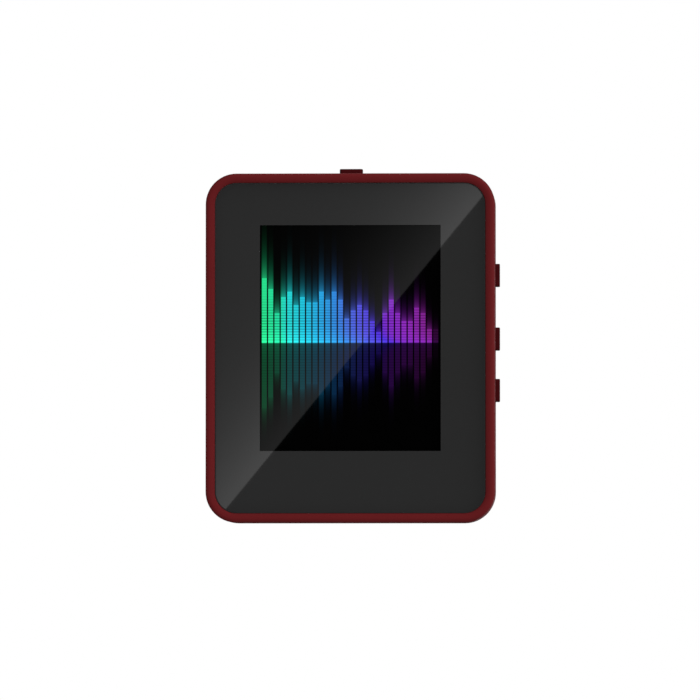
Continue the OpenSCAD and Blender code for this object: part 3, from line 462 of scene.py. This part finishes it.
# moulded pieces: a little cloud in the colour, a fine grain from the mould, roughness that wanders
# the grain is drawn up to three times as coarse as the real one, so that it shows
mouldings = {
    # dyed ABS in the lacquer's red, darkened as painted shade, hardly any shine
    "shadedSatinRedButton": {"colour": "#390b0d", "cloud": "#33090b", "roughness": 0.45, "specular": 0.02,
                       "grainMm": 0.3, "grain": 0.000004},
    # epoxy round a chip: charcoal, dull and sandy
    "mouldedResin": {"colour": "#26272a", "cloud": "#1f2023", "roughness": 0.62, "specular": 0.5,
                     "grainMm": 0.12, "grain": 0.000012},
    # filled nylon: black with a half shine
    "blackNylon": {"colour": "#1c1c1f", "cloud": "#161618", "roughness": 0.5, "specular": 0.5,
                   "grainMm": 0.2, "grain": 0.000006},
    # nylon from a polished mould: deep black, glossy
    "glossyNylon": {"colour": "#141416", "cloud": "#0f0f11", "roughness": 0.24, "specular": 0.5,
                    "grainMm": 0.3, "grain": 0.000004},
    # acetal: a warm, slightly waxy white
    "whiteAcetal": {"colour": "#d8d3c6", "cloud": "#cbc5b6", "roughness": 0.4, "specular": 0.5,
                    "grainMm": 0.25, "grain": 0.000005},
    # coated film tape: dull black
    "blackTape": {"colour": "#2a2a2c", "cloud": "#212123", "roughness": 0.75, "specular": 0.3,
                  "grainMm": 0.35, "grain": 0.00001},
    # creped paper tape: cream, quite dull
    "paperTape": {"colour": "#dbd5c1", "cloud": "#cbc4ae", "roughness": 0.8, "specular": 0.5,
                  "grainMm": 0.3, "grain": 0.00001},
    # fired ceramic of the small board parts: tan, with a fine tooth
    "firedCeramic": {"colour": "#a2845a", "cloud": "#8b6f49", "roughness": 0.45, "specular": 0.5,
                     "grainMm": 0.1, "grain": 0.000008},
    # extruded vinyl: clear red or black, with a soft shine
    "redInsulation": {"colour": "#a81e22", "cloud": "#951a1e", "roughness": 0.45, "specular": 0.5,
                      "grainMm": 0.2, "grain": 0.000006},
    "blackInsulation": {"colour": "#17171a", "cloud": "#101012", "roughness": 0.45, "specular": 0.5,
                        "grainMm": 0.2, "grain": 0.000006},
}
mouldCloud = {"grains": 14, "wander": 0.06}     # a cloud is so many grains wide, and its roughness so much off


def makeMoulding(name):
    c = mouldings[name]
    material, tree, shader, place = startFinish(name, {"Specular IOR Level": c["specular"]})
    patch = addNode(tree, "ShaderNodeTexNoise", {
        "Vector": place, "Scale": perMillimetre(c["grainMm"] * mouldCloud["grains"]), "Detail": 3.0})
    mixed = addNode(tree, "ShaderNodeMix", {0: patch, 6: linear(c["cloud"]), 7: linear(c["colour"])},
                    data_type="RGBA").outputs[2]
    shine = addNode(tree, "ShaderNodeMapRange", {
        "Value": patch, **noiseSpan,
        "To Min": c["roughness"] - mouldCloud["wander"], "To Max": c["roughness"] + mouldCloud["wander"]})
    tooth = addNode(tree, "ShaderNodeTexNoise",
                    {"Vector": place, "Scale": perMillimetre(c["grainMm"]), "Detail": 2.0})
    bump = addNode(tree, "ShaderNodeBump", {"Height": tooth, "Distance": c["grain"], "Strength": 1.0})
    setInputs(tree, shader, {"Base Color": mixed, "Roughness": shine, "Normal": bump})
    return material


# rolled or drawn metal: bright, with fine lines one way, drawn coarser than the real ones so that they show
rolledMetals = {
    # tinned steel sheet: pale grey, soft mirror
    "tinnedSheet": {"colour": "#b9bcc0", "cloud": "#a4a8ad", "roughness": (0.22, 0.4), "lineMm": 0.25},
    # gold-flashed brass: warm yellow, brighter than the sheet
    "goldFlashedBrass": {"colour": "#d3ab58", "cloud": "#b98f43", "roughness": (0.18, 0.36), "lineMm": 0.2},
    # drawn nickel silver can: the brightest of them
    "crystalCan": {"colour": "#c9ccd0", "cloud": "#b2b6bb", "roughness": (0.14, 0.32), "lineMm": 0.3},
    # blackened steel: nearly black, with painted shade in the recess of the head, from its floor's y to its rim's
    "blackOxideSteel": {"colour": "#3a3a3d", "cloud": "#2a2a2c", "roughness": (0.3, 0.48), "lineMm": 0.3,
                        "soot": "#0c0c0d", "recess": {"From Min": 0.00475, "From Max": 0.00503}},
}
rolledLines = {"stretch": (0.06, 1.0, 1.0), "depth": 0.000004, "strength": 0.6}


def makeRolledMetal(name):
    c = rolledMetals[name]
    material, tree, shader, place = startFinish(name, {"Metallic": 1.0})
    lay = addNode(tree, "ShaderNodeMapping", {"Vector": place, "Scale": rolledLines["stretch"]})
    lines = addNode(tree, "ShaderNodeTexNoise",
                    {"Vector": lay, "Scale": perMillimetre(c["lineMm"]), "Detail": 4.0})
    mixed = addNode(tree, "ShaderNodeMix", {0: lines, 6: linear(c["cloud"]), 7: linear(c["colour"])},
                    data_type="RGBA").outputs[2]
    # painted shade: the recess of the head darkens towards its floor
    if "recess" in c:
        height = addNode(tree, "ShaderNodeSeparateXYZ", {0: place}).outputs["Y"]
        shallow = addNode(tree, "ShaderNodeMapRange", {"Value": height, **c["recess"]})
        mixed = addNode(tree, "ShaderNodeMix", {0: shallow, 6: linear(c["soot"]), 7: mixed},
                        data_type="RGBA").outputs[2]
    smooth, dull = c["roughness"]
    shine = addNode(tree, "ShaderNodeMapRange", {"Value": lines, **noiseSpan, "To Min": smooth, "To Max": dull})
    bump = addNode(tree, "ShaderNodeBump", {"Height": lines, "Distance": rolledLines["depth"],
                                            "Strength": rolledLines["strength"]})
    setInputs(tree, shader, {"Base Color": mixed, "Roughness": shine, "Normal": bump})
    return material


# foam: open cells, darker in each pore as painted shade, no shine
foams = {
    "blackFoam": {"colour": "#2c2c2e", "poreShade": "#141415", "cellMm": 0.25},
    "whiteFoam": {"colour": "#dcdad2", "poreShade": "#b4b1a6", "cellMm": 0.3},
}
foamSkin = {"roughness": 0.92, "specular": 0.2, "depth": 0.00006, "strength": 0.8}


def makeFoam(name):
    c = foams[name]
    material, tree, shader, place = startFinish(name, {
        "Roughness": foamSkin["roughness"], "Specular IOR Level": foamSkin["specular"]})
    cells = addNode(tree, "ShaderNodeTexVoronoi", {"Vector": place, "Scale": perMillimetre(c["cellMm"])})
    depth = cells.outputs["Distance"]
    # painted shade: each cell darkens towards its pore
    mixed = addNode(tree, "ShaderNodeMix", {0: depth, 6: linear(c["poreShade"]), 7: linear(c["colour"])},
                    data_type="RGBA").outputs[2]
    bump = addNode(tree, "ShaderNodeBump", {"Height": depth, "Distance": foamSkin["depth"],
                                            "Strength": foamSkin["strength"]})
    setInputs(tree, shader, {"Base Color": mixed, "Normal": bump})
    return material


# glass-fibre board under green solder mask: copper tracks show as paler raised lines
boardMask = {
    "green": "#174f33", "track": "#2a7a4c", "roughness": 0.32,
    "trackMm": 0.9, "trackShare": 0.03, "trackSoft": 0.2,     # the tracks are a brick pattern's mortar
    "fieldLength": 5.0, "fieldHeight": 0.8, "fieldTone": 0.2, "shift": 0.37, "squash": 0.6,
    "rise": 0.00003, "strength": 0.7,
}


def makeBoardMask():
    c = boardMask
    material, tree, shader, place = startFinish("greenSolderMask", {"Roughness": c["roughness"]})
    flat = addNode(tree, "ShaderNodeMapping", {"Vector": place, "Rotation": (math.radians(90), 0, 0)})
    tone = c["fieldTone"]
    grid = addNode(tree, "ShaderNodeTexBrick", {
        "Vector": flat, "Scale": perMillimetre(c["trackMm"]),
        "Color1": (0, 0, 0, 1), "Color2": (tone, tone, tone, 1), "Mortar": (1, 1, 1, 1),
        "Mortar Size": c["trackShare"], "Mortar Smooth": c["trackSoft"],
        "Brick Width": c["fieldLength"], "Row Height": c["fieldHeight"]}, offset=c["shift"], squash=c["squash"])
    mixed = addNode(tree, "ShaderNodeMix", {0: grid, 6: linear(c["green"]), 7: linear(c["track"])},
                    data_type="RGBA").outputs[2]
    bump = addNode(tree, "ShaderNodeBump", {"Height": grid.outputs["Fac"], "Distance": c["rise"],
                                            "Strength": c["strength"]})
    setInputs(tree, shader, {"Base Color": mixed, "Normal": bump})
    return material


# aluminium pouch of the cell: satin foil that follows the winding in shallow creases, darkened in them as painted
# shade
pouchFoil = {
    "colour": "#c2c5c9", "crease": "#aeb2b7", "roughness": 0.34,
    "metallic": 0.85,               # a clear film lies over the metal
    "creaseMm": 5, "wander": 0.6, "depth": 0.0003, "strength": 0.5,
}


def makePouchFoil():
    c = pouchFoil
    material, tree, shader, place = startFinish("laminatedFoil", {
        "Roughness": c["roughness"], "Metallic": c["metallic"]})
    creases = addNode(tree, "ShaderNodeTexNoise", {
        "Vector": place, "Scale": perMillimetre(c["creaseMm"]), "Detail": 5.0, "Distortion": c["wander"]})
    # painted shade: the foil darkens in its creases
    mixed = addNode(tree, "ShaderNodeMix", {0: creases, 6: linear(c["crease"]), 7: linear(c["colour"])},
                    data_type="RGBA").outputs[2]
    bump = addNode(tree, "ShaderNodeBump", {"Height": creases, "Distance": c["depth"], "Strength": c["strength"]})
    setInputs(tree, shader, {"Base Color": mixed, "Normal": bump})
    return material


# polyimide film with copper lines under it: amber, darker along the lines
flexFilm = {"amber": "#b0701f", "line": "#8a4a18", "lineMm": 0.5, "roughness": 0.3,
            "depth": 0.00001, "strength": 0.6}


def makeFlexFilm():
    c = flexFilm
    material, tree, shader, place = startFinish("amberPolyimide", {"Roughness": c["roughness"]})
    lines = addNode(tree, "ShaderNodeTexWave", {
        "Vector": place, "Scale": perMillimetre(c["lineMm"]) / 20,     # the wave texture multiplies it by twenty
        "Distortion": 0.0}, wave_type="BANDS", bands_direction="X").outputs["Fac"]
    mixed = addNode(tree, "ShaderNodeMix", {0: lines, 6: linear(c["line"]), 7: linear(c["amber"])},
                    data_type="RGBA").outputs[2]
    bump = addNode(tree, "ShaderNodeBump", {"Height": lines, "Distance": c["depth"], "Strength": c["strength"]})
    setInputs(tree, shader, {"Base Color": mixed, "Normal": bump})
    return material


# which pieces have which finish
wearers = {
    "satinRedLacquer": ("front_housing", "back_cover"),
    "shadedSatinRedButton": ("menu_button", "volume_up_button", "volume_down_button", "power_button"),
    "hardCoatedAcrylic": ("front_lens",),
    "screenPrintedInk": ("lens_mask",),
    "litDisplay": ("display_panel",),
    "blackTape": ("lens_tape",),
    "blackFoam": ("display_gasket",),
    "whiteFoam": ("display_pads",),
    "amberPolyimide": ("display_flex",),
    "greenSolderMask": ("main_board", "battery_circuit"),
    "mouldedResin": ("processor_chip", "memory_chip", "radio_chip", "charger_chip"),
    "crystalCan": ("crystal",),
    "firedCeramic": ("board_passives",),
    "laminatedFoil": ("battery_cell",),
    "paperTape": ("battery_tape",),
    "redInsulation": ("battery_lead_plus",),
    "blackInsulation": ("battery_lead_minus",),
    "blackNylon": ("switch_bodies", "usb_tongue", "card_base"),
    "whiteAcetal": ("backlight", "menu_plunger", "volume_up_plunger", "volume_down_plunger", "power_plunger"),
    "glossyNylon": ("jack_body",),
    "tinnedSheet": ("display_bezel", "usb_shell", "card_cover"),
    "goldFlashedBrass": ("jack_contacts", "usb_contacts", "card_contacts"),
    "blackOxideSteel": ("case_screws",),
}


def dressNodes():
    made = [makeCaseLacquer(), makeLensAcrylic(), makeMaskInk(), makeDisplayPicture(), makeBoardMask(),
            makePouchFoil(), makeFlexFilm()]
    made += [makeMoulding(name) for name in mouldings]
    made += [makeRolledMetal(name) for name in rolledMetals]
    made += [makeFoam(name) for name in foams]
    finishes = {name: material for material in made for name in wearers[material.name]}
    for name, piece in nodes.items():
        piece.data.materials.clear()
        piece.data.materials.append(finishes[name])
    # lamps, scattered light and reflections pass straight through the pane to the print and the display behind
    pane = nodes["front_lens"]
    pane.visible_shadow = pane.visible_diffuse = pane.visible_glossy = False
    print("finishes on", len(finishes), "nodes")


dressNodes()
